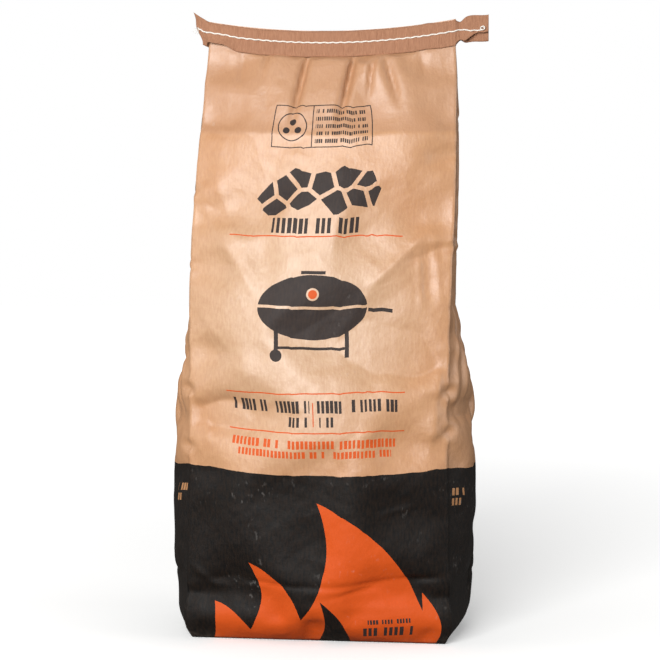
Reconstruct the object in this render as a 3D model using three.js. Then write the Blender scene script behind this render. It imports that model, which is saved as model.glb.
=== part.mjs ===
// A sewn-top kraft paper sack of lump charcoal, standing upright on its glued block bottom.
//
// The sack is a gusseted paper tube of two plies. Its lower half is filled out to a rounded block.
// Its upper half tapers to a flat mouth, where the side gussets are tucked in between front and back.
// A folded strip of crepe paper tape binds the mouth, and two cotton threads sew through it.
// The charcoal inside is a heap of separate lumps, each a convex broken chunk.
//
// Millimetres, +Z up, front of the sack towards -Y. The origin is on the floor, at the middle of the bottom.

import * as THREE from "three";
import { ConvexGeometry } from "three/addons/geometries/ConvexGeometry.js";

const { lerp, clamp, smoothstep, seededRandom } = THREE.MathUtils;

// ---------------------------------------------------------------- driving dimensions

const SEAM_HEIGHT = 646; // lower edge of the tape, at the middle of the mouth
const MOUTH_TOP = 674; // cut edge of the paper, at the middle of the mouth
const MOUTH_HALF_WIDTH = 138.5;
const TAPER_START = 330; // height where the filled body begins to narrow to the mouth

const PLY = 0.4; // each paper ply, with its glue
const PLY_GAP = 0.3; // air between the two plies
const FOLD_DEPTH = 2.6; // two walls and the air between them, at a flattened fold
const TUCK_GAP = 0.25; // half the air between the two legs of a tucked gusset

const MOUTH_LEAN = 7.7; // the mouth stands this far to the right of the bottom
const MOUTH_SAG = 12; // the middle of the mouth hangs this far below its ends
const MOUTH_BOW = 5; // the middle of the mouth bows this far forward

const TAPE = 0.5; // thickness of the crepe tape
const TAPE_GAP = 0.3; // air between the tape and the paper it covers
const TAPE_HEIGHT = 30; // folded height of the tape
const LEFT_TAIL = 26; // tape left over beyond the mouth, each side
const RIGHT_TAIL = 36;
const LEFT_TWIST = { inwards: 5, back: 9, up: 8 }; // how far the end of the left tail is turned
const RIGHT_FLARE = { back: 2, up: 3 }; // and that of the right tail

const THREAD_RADIUS = 0.7;
const THREAD_HEIGHT = 16.5; // above the lower edge of the tape

const LUMPS_PER_LAYER = [8, 7];
const LAYERS = 6;
const FILL_BOTTOM = 2.5;
const FILL_TOP = 545;
const WALL_ROOM = 6; // between the heap and the sack's outline
const LUMP_GAP = 1.6;
const LUMP_REACH = 90; // the most that a lump reaches from its middle
const CHIPS = 4; // broken off each lump, at a distance from its middle
const CHIP_REACH = { least: 38, more: 14 };

// ---------------------------------------------------------------- the sack's outline by height

// A smooth function of height through a few [height, value] stations.
function profile(stations) {
  return (z) => {
    const last = stations.length - 2;
    const i = clamp(stations.findIndex(([height]) => height >= z) - 1, 0, last);
    const [z0, from] = stations[i];
    const [z1, to] = stations[i + 1];
    return lerp(from, to, smoothstep(z, z0, z1));
  };
}

// A function of height through the same stations, in straight runs that meet at a slope.
function taper(stations) {
  const curve = new THREE.SplineCurve(stations.map(([z, value]) => new THREE.Vector2(value, z)));
  const points = curve.getPoints(200);
  return (z) => {
    const i = clamp(points.findIndex((p) => p.y >= z), 1, points.length - 1);
    const share = (z - points[i - 1].y) / Math.max(points[i].y - points[i - 1].y, 1e-6);
    return lerp(points[i - 1].x, points[i].x, clamp(share, 0, 1));
  };
}

// Half the distance between the two front folds.
const foldX = taper([[0, 140], [10, 144.5], [60, 144.5], [200, 142.5], [300, 142.5],
  [400, 144.5], [500, 144], [600, 140], [SEAM_HEIGHT, MOUTH_HALF_WIDTH], [700, MOUTH_HALF_WIDTH]]);

// Half the depth of the sack at its folds.
const MOUTH_Y = TUCK_GAP + FOLD_DEPTH;
const foldY = taper([[0, 67], [10, 71], [60, 72], [130, 70.5], [200, 69], [300, 64], [380, 56],
  [460, 44], [540, 30], [600, 14], [640, MOUTH_Y + 0.8], [SEAM_HEIGHT, MOUTH_Y], [700, MOUTH_Y]]);

// How far the middle of the front and the back stands proud of the folds.
const panelBulge = taper([[0, 0], [10, 6], [60, 21], [130, 30], [200, 33], [300, 30], [400, 24],
  [500, 16], [560, 12], [620, 4], [SEAM_HEIGHT, 0], [700, 0]]);

// How far the middle of a side stands out from the folds, or is tucked in where it is negative.
const gussetOut = taper([[0, 0], [10, 6], [60, 18], [130, 25], [220, 25], [300, 19], [370, 2],
  [420, -28], [480, -54], [560, -68], [SEAM_HEIGHT, -72], [700, -72]]);

const tuckShare = profile([[340, 0], [430, 1]]); // 0 where a side is a round bulge, 1 where it is a sharp V
const mouthShare = profile([[TAPER_START, 0], [SEAM_HEIGHT, 1]]);

// The lean, sag and bow of the mouth, which fade out down the taper.
function settle([x, y, z]) {
  const share = mouthShare(z);
  const across = x / MOUTH_HALF_WIDTH;
  return [
    x + share * MOUTH_LEAN,
    y - share * MOUTH_BOW * (1 - across * across),
    z + share * MOUTH_SAG * across * across,
  ];
}

// ---------------------------------------------------------------- sheets with a thickness

// A closed solid between two skins, given as rows of points. The rows run up and the points in a
// row run anticlockwise seen from above, so that the first skin's faces point outwards.
function sheetSolid(outer, inner, closedAcross) {
  const corners = [];
  const same = (a, b) => a.every((value, i) => Math.abs(value - b[i]) < 1e-4);
  const triangle = (a, b, c) => {
    if (!same(a, b) && !same(b, c) && !same(c, a)) corners.push(...a, ...b, ...c);
  };
  const quad = (a, b, c, d) => {
    triangle(a, b, c);
    triangle(a, c, d);
  };
  const rows = outer.length;
  const count = outer[0].length;
  const steps = closedAcross ? count : count - 1;
  for (let j = 0; j < steps; j++) {
    const k = (j + 1) % count;
    for (let i = 0; i < rows - 1; i++) {
      quad(outer[i][j], outer[i][k], outer[i + 1][k], outer[i + 1][j]);
      quad(inner[i][j], inner[i + 1][j], inner[i + 1][k], inner[i][k]);
    }
    quad(inner[0][j], inner[0][k], outer[0][k], outer[0][j]);
    quad(outer[rows - 1][j], outer[rows - 1][k], inner[rows - 1][k], inner[rows - 1][j]);
  }
  if (!closedAcross) {
    const last = count - 1;
    for (let i = 0; i < rows - 1; i++) {
      quad(outer[i][0], outer[i + 1][0], inner[i + 1][0], inner[i][0]);
      quad(inner[i][last], inner[i + 1][last], outer[i + 1][last], outer[i][last]);
    }
  }
  const geometry = new THREE.BufferGeometry();
  geometry.setAttribute("position", new THREE.Float32BufferAttribute(corners, 3));
  return geometry;
}

// ---------------------------------------------------------------- paper plies

const PANEL_STEPS = 12;
const LEG_STEPS = 4;

// The outline of the sack at one height, anticlockwise from the left end of the front.
function outline(z) {
  const x = foldX(z);
  const y = foldY(z);
  const bulge = panelBulge(z);
  const gussetY = y - FOLD_DEPTH;
  const front = [];
  for (let i = 0; i <= PANEL_STEPS; i++) {
    const across = (2 * i) / PANEL_STEPS - 1;
    front.push([across * x, -y - bulge * (1 - across * across)]);
  }
  const leg = []; // the front half of the right side, from the fold to the gusset's own middle fold
  for (let i = 0; i <= LEG_STEPS; i++) {
    const away = 1 - i / LEG_STEPS;
    const shape = lerp(1 - away * away, 1 - away, tuckShare(z));
    leg.push([x + gussetOut(z) * shape, -lerp(TUCK_GAP, gussetY, away)]);
  }
  const mirrorY = (points) => points.map(([px, py]) => [px, -py]).reverse();
  const mirrorX = (points) => points.map(([px, py]) => [-px, py]).reverse();
  const side = [...leg, ...mirrorY(leg)];
  return [...front, ...side, ...mirrorY(front), ...mirrorX(side)];
}

// The outline moved inwards by a distance, each corner along the bisector of its two edges.
function inset(points, distance) {
  const count = points.length;
  const normal = ([ax, ay], [bx, by]) => {
    const length = Math.hypot(bx - ax, by - ay);
    return [-(by - ay) / length, (bx - ax) / length];
  };
  return points.map((point, i) => {
    const before = normal(points[(i + count - 1) % count], point);
    const after = normal(point, points[(i + 1) % count]);
    const along = distance / (1 + before[0] * after[0] + before[1] * after[1]);
    return [point[0] + (before[0] + after[0]) * along, point[1] + (before[1] + after[1]) * along];
  });
}

const RING_HEIGHTS = [0, 4, 12, 30, 65, 110, 165, 230, 300, 350, 390, 430, 480, 530, 580, 615, 640];

// One skin of a ply: a flat bottom round its own middle point, then a ring at each height.
function skin(distance) {
  const rings = [...RING_HEIGHTS, SEAM_HEIGHT, MOUTH_TOP].map((z) =>
    inset(outline(z), distance).map(([x, y]) => settle([x, y, Math.max(z, distance)])),
  );
  const middle = rings[0].map(() => [0, 0, distance]);
  return [middle, ...rings];
}

const ply = (distance) => sheetSolid(skin(distance), skin(distance + PLY), true);

// ---------------------------------------------------------------- binding tape

// Where the middle plane of the tape runs, at a station along it. The left tail twists back and up
// as it leaves the mouth, and the right tail flares up a little.
function tapeStation(x) {
  const left = clamp((-x - MOUTH_HALF_WIDTH) / LEFT_TAIL, 0, 1);
  const right = clamp((x - MOUTH_HALF_WIDTH) / RIGHT_TAIL, 0, 1);
  return {
    x: x + LEFT_TWIST.inwards * left,
    back: LEFT_TWIST.back * left * left + RIGHT_FLARE.back * right,
    rise: LEFT_TWIST.up * left * left + RIGHT_FLARE.up * smoothstep(right, 0, 0.6),
    half: lerp(MOUTH_Y + TAPE_GAP, 0.6, smoothstep(Math.max(left, right), 0, 0.8)),
  };
}

// One skin of the tape, folded over the mouth: up the back, over the top and down the front, which
// is anticlockwise seen from the right.
function tapeSkin(x, grow) {
  const { x: along, back, rise, half } = tapeStation(x);
  const y = half + grow;
  const bottom = SEAM_HEIGHT + rise;
  const top = bottom + TAPE_HEIGHT - TAPE + grow;
  const heights = [bottom, lerp(bottom, top, 0.5), top];
  const rear = heights.map((z) => [along, y, z]);
  const front = heights.map((z) => [along, -y, z]).reverse();
  return [...rear, ...front].map((point) => {
    const [px, py, pz] = settle(point);
    return [px, py + back, pz];
  });
}

// Stations along the tape. Across the mouth they are those of the paper, so that the two never cross.
const TAIL_STEPS = 6;
const stations = [];
for (let i = TAIL_STEPS; i > 0; i--) stations.push(-MOUTH_HALF_WIDTH - (LEFT_TAIL * i) / TAIL_STEPS);
for (let i = 0; i <= PANEL_STEPS; i++) stations.push(MOUTH_HALF_WIDTH * ((2 * i) / PANEL_STEPS - 1));
for (let i = 1; i <= TAIL_STEPS; i++) stations.push(MOUTH_HALF_WIDTH + (RIGHT_TAIL * i) / TAIL_STEPS);

const tape = () => sheetSolid(
  stations.map((x) => tapeSkin(x, TAPE)),
  stations.map((x) => tapeSkin(x, 0)),
  false,
);

// ---------------------------------------------------------------- sewing threads

// One thread lying along a face of the tape: side is -1 on the front and 1 on the back.
function thread(side) {
  const points = stations.map((station) => {
    const { x, back, rise, half } = tapeStation(station);
    const y = side * (half + TAPE + TAPE_GAP + THREAD_RADIUS);
    const [px, py, pz] = settle([x, y, SEAM_HEIGHT + rise + THREAD_HEIGHT]);
    return new THREE.Vector3(px, py + back, pz);
  });
  const section = new THREE.Shape();
  section.absarc(0, 0, THREAD_RADIUS, 0, 2 * Math.PI);
  return new THREE.ExtrudeGeometry(section, {
    steps: 44,
    curveSegments: 4,
    extrudePath: new THREE.CatmullRomCurve3(points),
  });
}

// ---------------------------------------------------------------- charcoal lumps

// How wide and deep the heap of charcoal may be at a height, inside both plies.
const heapX = (z) => foldX(z) + Math.min(gussetOut(z), 14) - WALL_ROOM;
const heapY = (z) => foldY(z) + panelBulge(z) - WALL_ROOM;
const HEAP_POWER = 2.5; // a little squarer than an ellipse

function insideHeap({ x, y, z }) {
  if (z < FILL_BOTTOM || z > FILL_TOP) return false;
  return Math.abs(x / heapX(z)) ** HEAP_POWER + Math.abs(y / heapY(z)) ** HEAP_POWER < 1;
}

// The middles of the lumps: layers of two rows each, every one moved a little at random.
function lumpMiddles() {
  const middles = [];
  const layerHeight = (FILL_TOP - FILL_BOTTOM) / LAYERS;
  for (let layer = 0; layer < LAYERS; layer++) {
    const count = LUMPS_PER_LAYER[layer % LUMPS_PER_LAYER.length];
    for (let i = 0; i < count; i++) {
      const rear = i % 2;
      const inRow = Math.ceil((count - rear) / 2);
      const z = FILL_BOTTOM + (layer + 0.5 + 0.45 * (seededRandom() - 0.5)) * layerHeight;
      const across = (2 * (Math.floor(i / 2) + 0.5)) / inRow - 1 + (0.3 * (seededRandom() - 0.5));
      const deep = (rear ? 0.48 : -0.48) + 0.35 * (seededRandom() - 0.5);
      middles.push(new THREE.Vector3(across * 0.92 * heapX(z), deep * heapY(z), z));
    }
  }
  return middles;
}

// The corner points of the space that a set of planes encloses: where three planes meet and no
// other plane cuts the point off.
function cornersOf(planes) {
  const found = [];
  for (let a = 0; a < planes.length; a++)
    for (let b = a + 1; b < planes.length; b++)
      for (let c = b + 1; c < planes.length; c++) {
        const [p, q, r] = [planes[a], planes[b], planes[c]];
        const qr = new THREE.Vector3().crossVectors(q.normal, r.normal);
        const turn = p.normal.dot(qr);
        if (Math.abs(turn) < 1e-3) continue;
        const point = qr.multiplyScalar(-p.constant)
          .add(new THREE.Vector3().crossVectors(r.normal, p.normal).multiplyScalar(-q.constant))
          .add(new THREE.Vector3().crossVectors(p.normal, q.normal).multiplyScalar(-r.constant))
          .divideScalar(turn);
        if (planes.every((plane) => plane.distanceToPoint(point) < 1e-4)) found.push(point);
      }
  return found;
}

// One lump: the space nearer to its own middle than to any other, less a gap all round, with a few
// chips broken off and its outer corners drawn back to the wall of the heap.
const NEIGHBOURS = 24;
function lump(middle, middles) {
  const nearest = middles
    .filter((other) => other !== middle)
    .sort((a, b) => a.distanceTo(middle) - b.distanceTo(middle))
    .slice(0, NEIGHBOURS);
  const planes = nearest.map((other) => {
    const outwards = other.clone().sub(middle);
    const reach = outwards.length() / 2 - LUMP_GAP / 2;
    outwards.normalize();
    const point = middle.clone().addScaledVector(outwards, reach);
    return new THREE.Plane().setFromNormalAndCoplanarPoint(outwards, point);
  });
  for (const normal of [[1, 0, 0], [-1, 0, 0], [0, 1, 0], [0, -1, 0], [0, 0, 1], [0, 0, -1]]) {
    const outwards = new THREE.Vector3(...normal);
    const point = middle.clone().addScaledVector(outwards, LUMP_REACH);
    planes.push(new THREE.Plane().setFromNormalAndCoplanarPoint(outwards, point));
  }
  for (let i = 0; i < CHIPS; i++) {
    const up = 2 * seededRandom() - 1;
    const round = 2 * Math.PI * seededRandom();
    const flat = Math.sqrt(1 - up * up);
    const outwards = new THREE.Vector3(flat * Math.cos(round), flat * Math.sin(round), up);
    const reach = CHIP_REACH.least + CHIP_REACH.more * seededRandom();
    const point = middle.clone().addScaledVector(outwards, reach);
    planes.push(new THREE.Plane().setFromNormalAndCoplanarPoint(outwards, point));
  }
  const corners = cornersOf(planes).map((corner) => {
    let out = 1; // bisect along the line from the middle to the corner
    for (let step = 0.5; !insideHeap(middle.clone().lerp(corner, out)) && step > 1e-3; step /= 2) {
      out -= step;
      while (insideHeap(middle.clone().lerp(corner, out + step / 2)) && out + step / 2 < 1) out += step / 2;
    }
    return middle.clone().lerp(corner, out);
  });
  return new ConvexGeometry(corners);
}

// ---------------------------------------------------------------- assembly

const colours = {
  print: new THREE.MeshStandardMaterial({ color: 0xd9ac82, roughness: 0.85 }),
  liner: new THREE.MeshStandardMaterial({ color: 0xb88a5e, roughness: 0.9 }),
  crepe: new THREE.MeshStandardMaterial({ color: 0xc39069, roughness: 0.9 }),
  cotton: new THREE.MeshStandardMaterial({ color: 0xf2ece2, roughness: 0.8 }),
  charcoal: new THREE.MeshStandardMaterial({ color: 0x1b1a19, roughness: 0.7 }),
};

const sack = new THREE.Group();

function add(name, geometry, material) {
  const mesh = new THREE.Mesh(geometry, material);
  mesh.name = name;
  sack.add(mesh);
}

add("outer_paper_ply", ply(0), colours.print);
add("inner_paper_ply", ply(PLY + PLY_GAP), colours.liner);
add("binding_tape", tape(), colours.crepe);
add("front_seam_thread", thread(-1), colours.cotton);
add("back_seam_thread", thread(1), colours.cotton);

seededRandom(7);
const middles = lumpMiddles();
middles.forEach((middle, i) => {
  const number = String(i + 1).padStart(2, "0");
  add(`charcoal_lump_${number}`, lump(middle, middles), colours.charcoal);
});

export default sack;
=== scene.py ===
"""A sewn-top kraft paper sack of lump charcoal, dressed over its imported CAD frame.

The pieces follow the order in which such a sack is made: the paper tube of two plies with its printed
outside, the pasted bottom, the charcoal that fills it, the crepe tape over the mouth, and the two
threads that sew it shut. The studio and the camera come last. Everything is in metres, +Z up, with the
printed front towards -Y.
"""

import bpy
import numpy as np
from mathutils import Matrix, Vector


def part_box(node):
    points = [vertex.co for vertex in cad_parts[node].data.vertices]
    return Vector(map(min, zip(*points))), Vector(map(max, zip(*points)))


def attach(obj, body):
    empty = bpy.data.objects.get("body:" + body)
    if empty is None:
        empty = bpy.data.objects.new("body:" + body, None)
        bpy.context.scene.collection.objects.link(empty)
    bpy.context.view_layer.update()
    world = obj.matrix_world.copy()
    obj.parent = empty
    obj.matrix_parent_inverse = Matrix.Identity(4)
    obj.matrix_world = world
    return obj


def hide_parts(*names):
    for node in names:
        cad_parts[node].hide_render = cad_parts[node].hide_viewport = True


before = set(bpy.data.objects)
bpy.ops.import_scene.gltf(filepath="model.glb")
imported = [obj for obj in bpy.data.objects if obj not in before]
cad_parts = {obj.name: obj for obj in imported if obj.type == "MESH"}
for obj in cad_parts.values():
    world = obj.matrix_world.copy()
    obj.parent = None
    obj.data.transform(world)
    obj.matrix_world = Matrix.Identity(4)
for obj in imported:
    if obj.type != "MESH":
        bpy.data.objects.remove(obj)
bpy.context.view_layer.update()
rng = np.random.default_rng(11)


# ---------------------------------------------------------------- paper tube
#
# The outer ply is one web of kraft paper, pasted into a tube with a tucked gusset down each side. The
# charcoal rounds its lower half, and the upper half tapers to the flat mouth. The folds, pleats and
# dents come from filling, sewing and stacking it.

tape_low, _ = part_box("binding_tape")

PANEL_WIDTH = 0.295
GUSSET_WIDTH = 0.150
TUBE = 2 * (PANEL_WIDTH + GUSSET_WIDTH)
MOUTH_HALF_WIDTH = 0.1385
SEAM_HEIGHT = tape_low.z
MOUTH_TOP = SEAM_HEIGHT + 0.028
MOUTH_HALF_DEPTH = 0.0029
TAPER_START = 0.330
GUSSET_TUCK = -0.072  # how far in the middle of a side lies at the mouth
SHEET_HEIGHT = MOUTH_TOP + 0.014  # of the flat paper, from the bottom edge to the mouth
MOUTH_FOLD = 0.562  # up the paper, where the mouth was folded back and forth
SEAM_FROM_BACK_MIDDLE = 0.062  # where the edge of the web is pasted down


def through(heights, values, z):
    """A smooth curve through (height, value) stations. Between two stations it is a cubic, and its
    slope at a station is that of the stations on either side."""
    heights, values = np.array(heights), np.array(values)
    slope = np.gradient(values, heights)
    i = np.clip(np.searchsorted(heights, z) - 1, 0, len(heights) - 2)
    step = heights[i + 1] - heights[i]
    t = np.clip((z - heights[i]) / step, 0, 1)
    return (
        values[i] * (1 + 2 * t) * (1 - t) ** 2
        + values[i + 1] * t * t * (3 - 2 * t)
        + step * t * (1 - t) * (slope[i] * (1 - t) - slope[i + 1] * t)
    )


def ease(low, high, value):
    """0 below low, 1 above high, and a smooth S between them."""
    t = np.clip((value - low) / (high - low), 0, 1)
    return t * t * (3 - 2 * t)


def half_width(z):
    """Half the distance between the two front folds."""
    heights = [0, 0.01, 0.06, 0.2, 0.3, 0.4, 0.5, 0.6, SEAM_HEIGHT, 0.7]
    widths = [0.1405, 0.1445, 0.1445, 0.1425, 0.1425, 0.1445, 0.144, 0.140]
    return through(heights, widths + [MOUTH_HALF_WIDTH, MOUTH_HALF_WIDTH], z)


def half_depth(z):
    """Half the depth of the sack at its four folds."""
    heights = [0, 0.01, 0.06, 0.13, 0.2, 0.3, 0.38, 0.46, 0.54, 0.6, 0.64, SEAM_HEIGHT, 0.7]
    depths = [0.067, 0.071, 0.072, 0.0705, 0.069, 0.064, 0.056, 0.044, 0.030, 0.014, 0.0038]
    return through(heights, depths + [MOUTH_HALF_DEPTH, MOUTH_HALF_DEPTH], z)


def panel_bulge(z):
    """How far the middle of the front or the back stands proud of its folds."""
    heights = [0, 0.01, 0.06, 0.13, 0.2, 0.3, 0.4, 0.5, 0.56, 0.62, SEAM_HEIGHT, 0.7]
    return through(heights, [0, 0.006, 0.021, 0.030, 0.033, 0.030, 0.024, 0.016, 0.012, 0.004, 0, 0], z)


def gusset_out(z):
    """How far the middle of a side stands out from its folds; tucked in where it is negative."""
    heights = [0, 0.01, 0.06, 0.13, 0.22, 0.3, 0.335, 0.365, 0.39, 0.42, 0.48, 0.56, SEAM_HEIGHT, 0.7]
    reach = [0, 0.006, 0.018, 0.025, 0.025, 0.018, 0.0098, 0.002, -0.0075, -0.026, -0.054, -0.068]
    return through(heights, reach + [GUSSET_TUCK, GUSSET_TUCK], z)


def beside(u, v, start, end):
    """How far each place is along a straight line, as a share of it, and how far off it to one side."""
    (u0, v0), (u1, v1) = start, end
    length = np.hypot(u1 - u0, v1 - v0)
    along = ((u - u0) * (u1 - u0) + (v - v0) * (v1 - v0)) / length**2
    off = ((u - u0) * (v1 - v0) - (v - v0) * (u1 - u0)) / length
    return along, off


def crease(u, v, start, end, height, width):
    """Height of a crease along a straight line: greatest on the line, falling off sharply to each side
    and softly towards its two ends."""
    along, off = beside(u, v, start, end)
    ends = ease(-0.15, 0.2, along) * (1 - ease(0.8, 1.15, along))
    return height * ends * np.exp(-np.sqrt(off**2 + (0.25 * width) ** 2) / width)


def pleat(u, v, start, end, height, width):
    """Height of a pleat along a straight line: a sharp valley on the line itself, a swelling of that
    height a width away on each side, and nothing again far off."""
    along, off = beside(u, v, start, end)
    off = np.abs(off) / width
    section = off * np.exp(1 - off) - 0.75 * np.exp(-((1.8 * off) ** 2))
    return height * (1 - ease(0.45, 1.1, along)) * section


def dent(u, v, middle, size, height):
    """Height of one soft round swelling or, where height is negative, hollow."""
    return height * np.exp(-(((u - middle[0]) / size[0]) ** 2) - ((v - middle[1]) / size[1]) ** 2)


def bumps(u, v, count, size, height, lowest, highest):
    """The sum of many soft swellings and hollows at random places, as lumps press behind the paper."""
    total = np.zeros(u.shape)
    for _ in range(count):
        middle = rng.uniform(-0.15, 0.15), rng.uniform(lowest, highest)
        radius = rng.uniform(*size)
        total += dent(u, v, middle, (radius, radius * rng.uniform(0.8, 1.6)), rng.uniform(-height, height))
    return total


def stray_creases(u, v, count, lowest, highest):
    """Short sharp creases at random places and angles, as handling leaves them."""
    total = np.zeros(u.shape)
    for _ in range(count):
        start = rng.uniform(-0.14, 0.14), rng.uniform(lowest, highest)
        angle, length = rng.uniform(0, 2 * np.pi), rng.uniform(0.02, 0.09)
        end = start[0] + length * np.cos(angle), start[1] + length * np.sin(angle)
        total += crease(u, v, start, end, rng.uniform(-0.0009, 0.0009), rng.uniform(0.002, 0.007))
    return total


PLEAT_TOP = 0.668  # up the paper, behind the tape


def front_relief(u, v):
    """How far the front stands out of its smooth shape, u across from its middle and v up it."""
    relief = bumps(u, v, 120, (0.012, 0.030), 0.0013, 0.05, 0.60)
    relief += stray_creases(u, v, 60, 0.03, 0.64)
    for top, foot, low, height, width in (
        (-0.026, -0.040, 0.568, 0.0044, 0.0090),
        (0.029, 0.012, 0.566, 0.0048, 0.0085),
        (0.058, 0.046, 0.606, 0.0040, 0.0065),
        (0.060, 0.084, 0.588, 0.0036, 0.0105),
        (-0.076, -0.078, 0.620, 0.0013, 0.0070),
        (-0.106, -0.104, 0.610, 0.0010, 0.0100),
        (0.106, 0.112, 0.620, 0.0010, 0.0090),
    ):
        relief += pleat(u, v, (top, PLEAT_TOP), (foot, low), height, width)
    for start, end, height, width in (
        ((-0.150, MOUTH_FOLD + 0.003), (0.150, MOUTH_FOLD - 0.003), 0.0030, 0.0090),
        ((-0.140, 0.488), (-0.068, 0.392), 0.0042, 0.0100),  # the shoulders over the fill
        ((-0.124, 0.520), (-0.092, 0.440), 0.0026, 0.0090),
        ((0.118, 0.452), (0.060, 0.400), 0.0040, 0.0070),
        ((0.064, 0.402), (0.020, 0.336), 0.0024, 0.0120),
        ((0.022, 0.540), (0.016, 0.410), 0.0022, 0.0120),
        ((0.110, 0.432), (0.116, 0.372), 0.0026, 0.0040),
        ((0.126, 0.452), (0.136, 0.372), 0.0026, 0.0040),
        ((0.100, 0.424), (0.140, 0.436), -0.0022, 0.0050),
        ((-0.136, 0.366), (-0.098, 0.330), 0.0014, 0.0060),
        ((-0.140, 0.286), (-0.120, 0.222), 0.0022, 0.0040),
        ((-0.134, 0.262), (-0.118, 0.238), -0.0018, 0.0030),
        ((0.138, 0.320), (0.128, 0.214), 0.0028, 0.0045),
        ((-0.150, 0.074), (0.150, 0.078), -0.0022, 0.0030),  # the fold line of the square bottom
        ((-0.145, 0.092), (-0.112, 0.066), 0.0030, 0.0032),
        ((-0.112, 0.066), (-0.050, 0.074), 0.0014, 0.0030),
        ((0.072, 0.152), (0.108, 0.158), 0.0015, 0.0028),
        ((0.014, 0.064), (0.142, 0.082), -0.0026, 0.0028),
        ((0.020, 0.052), (0.120, 0.048), 0.0014, 0.0060),
    ):
        relief += crease(u, v, start, end, height, width)
    for middle, size, height in (
        ((-0.118, 0.322), (0.024, 0.018), -0.0052),  # hollows where the fill has settled
        ((-0.102, 0.262), (0.022, 0.016), -0.0040),
        ((0.112, 0.330), (0.022, 0.028), -0.0036),
        ((0.122, 0.405), (0.016, 0.024), -0.0034),
        ((-0.060, 0.440), (0.020, 0.040), -0.0034),
        ((0.084, 0.462), (0.024, 0.024), 0.0032),
        ((-0.030, 0.350), (0.050, 0.040), 0.0034),
        ((0.050, 0.300), (0.040, 0.030), 0.0024),
        ((0.060, 0.375), (0.030, 0.020), -0.0022),
        ((0.100, 0.226), (0.026, 0.022), -0.0026),
    ):
        relief += dent(u, v, middle, size, height)
    return relief


def back_relief(u, v):
    """The same for the back, which has the pasted overlap of the tube down it."""
    relief = bumps(u, v, 130, (0.012, 0.032), 0.0017, 0.05, 0.60)
    relief += stray_creases(u, v, 70, 0.03, 0.64)
    for top, foot in ((-0.082, -0.096), (-0.046, -0.052), (0.012, 0.020), (0.064, 0.052), (0.098, 0.104)):
        relief += pleat(u, v, (top, PLEAT_TOP), (foot, 0.590), 0.0030, 0.0080)
    for start, end, height, width in (
        ((-0.150, MOUTH_FOLD), (0.150, MOUTH_FOLD + 0.008), 0.0030, 0.0090),
        ((-0.130, 0.400), (-0.040, 0.470), 0.0034, 0.0090),
        ((0.134, 0.470), (0.050, 0.380), 0.0034, 0.0080),
        ((-0.150, 0.076), (0.150, 0.075), -0.0016, 0.0030),
    ):
        relief += crease(u, v, start, end, height, width)
    return relief + 0.0004 * ease(-0.001, 0.001, u - SEAM_FROM_BACK_MIDDLE)


def side_relief(u, v):
    """The same for a gusset, which keeps its middle fold and gathers in upright creases."""
    relief = bumps(u, v, 90, (0.010, 0.024), 0.0015, 0.04, 0.42)
    relief += stray_creases(u, v, 40, 0.03, 0.40)
    relief += crease(u, v, (0.0, 0.02), (0.0, 0.40), -0.0026, 0.0040)
    for foot in (-0.050, -0.026, 0.024, 0.047):
        relief += crease(u, v, (0.4 * foot, 0.42), (foot, 0.25), -0.0030, 0.0036)
        relief += crease(u, v, (0.7 * foot, 0.41), (1.25 * foot, 0.27), 0.0022, 0.0036)
    relief += crease(u, v, (-0.08, 0.076), (0.08, 0.076), -0.0016, 0.0030)
    return relief


MOUTH_LEAN = 0.0077
MOUTH_BOW = 0.0050
MOUTH_RISE = 0.0120


def settle(x, y, z):
    """The mouth leans to the right, its middle hangs below its ends, and it bows forward. All three
    fade out down the taper."""
    share = ease(TAPER_START, SEAM_HEIGHT, z)
    across = x / MOUTH_HALF_WIDTH
    x = x + MOUTH_LEAN * share
    y = y - MOUTH_BOW * share * (1 - across**2)
    z = z + MOUTH_RISE * share * across**2
    return x, y, z


PANEL_STEPS = 25
LEG_STEPS = 6
ROWS = 75

panel_across = np.linspace(-1, 1, PANEL_STEPS + 1)
leg_away = np.linspace(1, 0, LEG_STEPS + 1)


def tube_points():
    """The smooth outside of the paper as points[row, column]. Rows go up; columns go round anticlockwise
    from the left front fold: the front, the right gusset, the back and the left gusset."""
    z = np.linspace(0, 1, ROWS)[:, None] ** 0.94 * MOUTH_TOP
    x_fold, y_fold, out = half_width(z), half_depth(z), gusset_out(z)
    facing = np.repeat([-1, 1], LEG_STEPS + 1)
    away = np.concatenate([leg_away, leg_away[::-1]])
    tucked = ease(0.34, 0.43, z)
    panel_x = panel_across * x_fold
    panel_y = -(y_fold + panel_bulge(z) * (1 - panel_across**2))
    side_x = x_fold + out * ((1 - away**2) * (1 - tucked) + (1 - away) * tucked)
    side_y = facing * (0.0003 + (y_fold - 0.0029) * away)
    x = np.concatenate([panel_x, side_x, -panel_x, -side_x], axis=1)
    y = np.concatenate([panel_y, side_y, -panel_y, -side_y], axis=1)
    return np.stack(settle(x, y, np.broadcast_to(z, x.shape)), axis=-1)


smooth_tube = tube_points()


def grid_quads(rows, columns, closed):
    """The corner numbers of the four-sided faces between the rows and columns of a grid."""
    index = np.arange(rows * columns).reshape(rows, columns)
    beside = np.roll(index, -1, axis=1)
    quads = np.stack([index[:-1], beside[:-1], beside[1:], index[1:]], axis=-1)
    return (quads if closed else quads[:, :-1]).reshape(-1, 4)


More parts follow.
